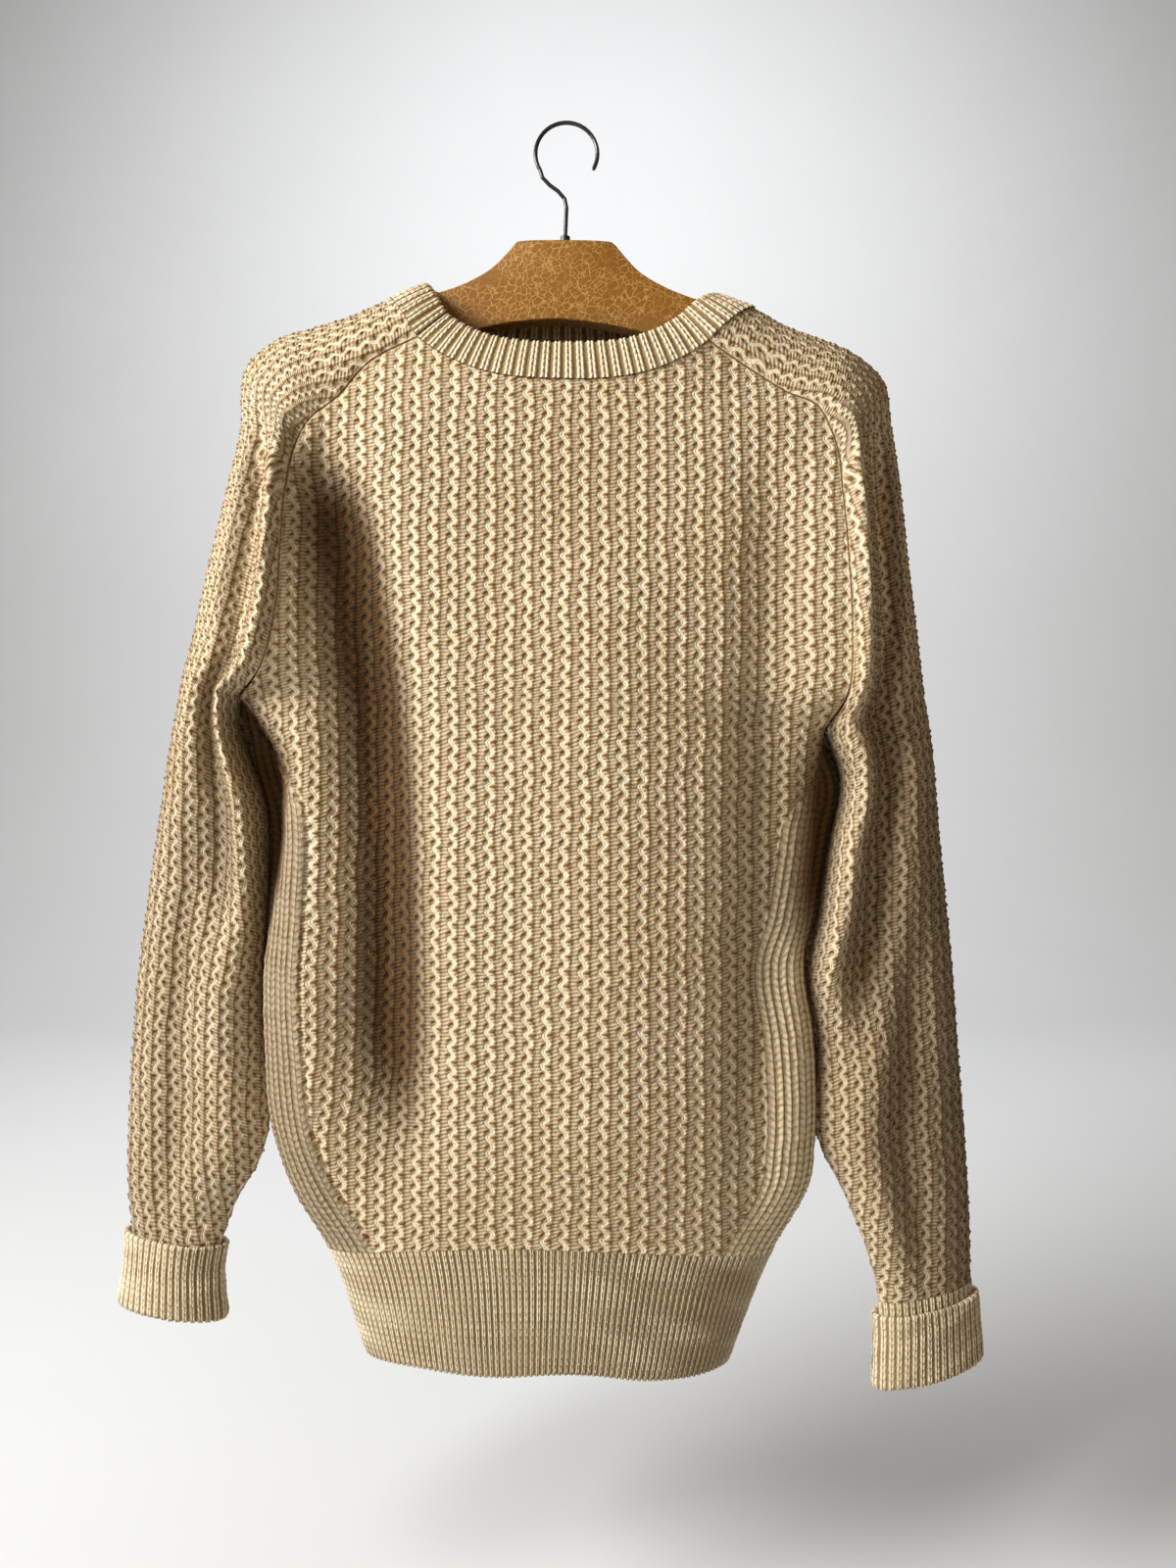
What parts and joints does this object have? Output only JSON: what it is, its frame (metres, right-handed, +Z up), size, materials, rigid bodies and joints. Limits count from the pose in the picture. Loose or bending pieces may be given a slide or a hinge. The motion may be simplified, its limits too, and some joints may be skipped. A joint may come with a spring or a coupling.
{
  "type": "fisherman sweater on a hanger",
  "caption": "Crew-neck raglan pullover in thick textured knit with ribbed neckband, hem and turned-back cuffs, hanging on a covered flat hanger with a wire hook.",
  "frame": {"origin": "inside top of the hook, where the hanger rests on the rod, peg or wall hook that holds it", "axes": "+Z up, +X to the right of someone facing the front of the garment, the front faces -Y"},
  "size_m": [0.5692, 0.0901, 0.8305],
  "materials": {
    "wool_knit": "matt undyed wool in a thick zigzag rib knit",
    "wool_rib": "matt undyed wool in a fine vertical rib",
    "hanger_cover": "tan leatherette with a pale crackle, satin",
    "hook_wire": "black lacquered wire"
  },
  "bodies": {
    "root": {"front": "wool_knit", "back": "wool_knit", "sleeve_left": "wool_knit", "sleeve_right": "wool_knit", "neckband": "wool_rib", "hem_rib": "wool_rib", "cuff_left": "wool_rib", "cuff_right": "wool_rib", "hanger_body": "hanger_cover", "hanger_hook": "hook_wire"}
  },
  "joints": []
}
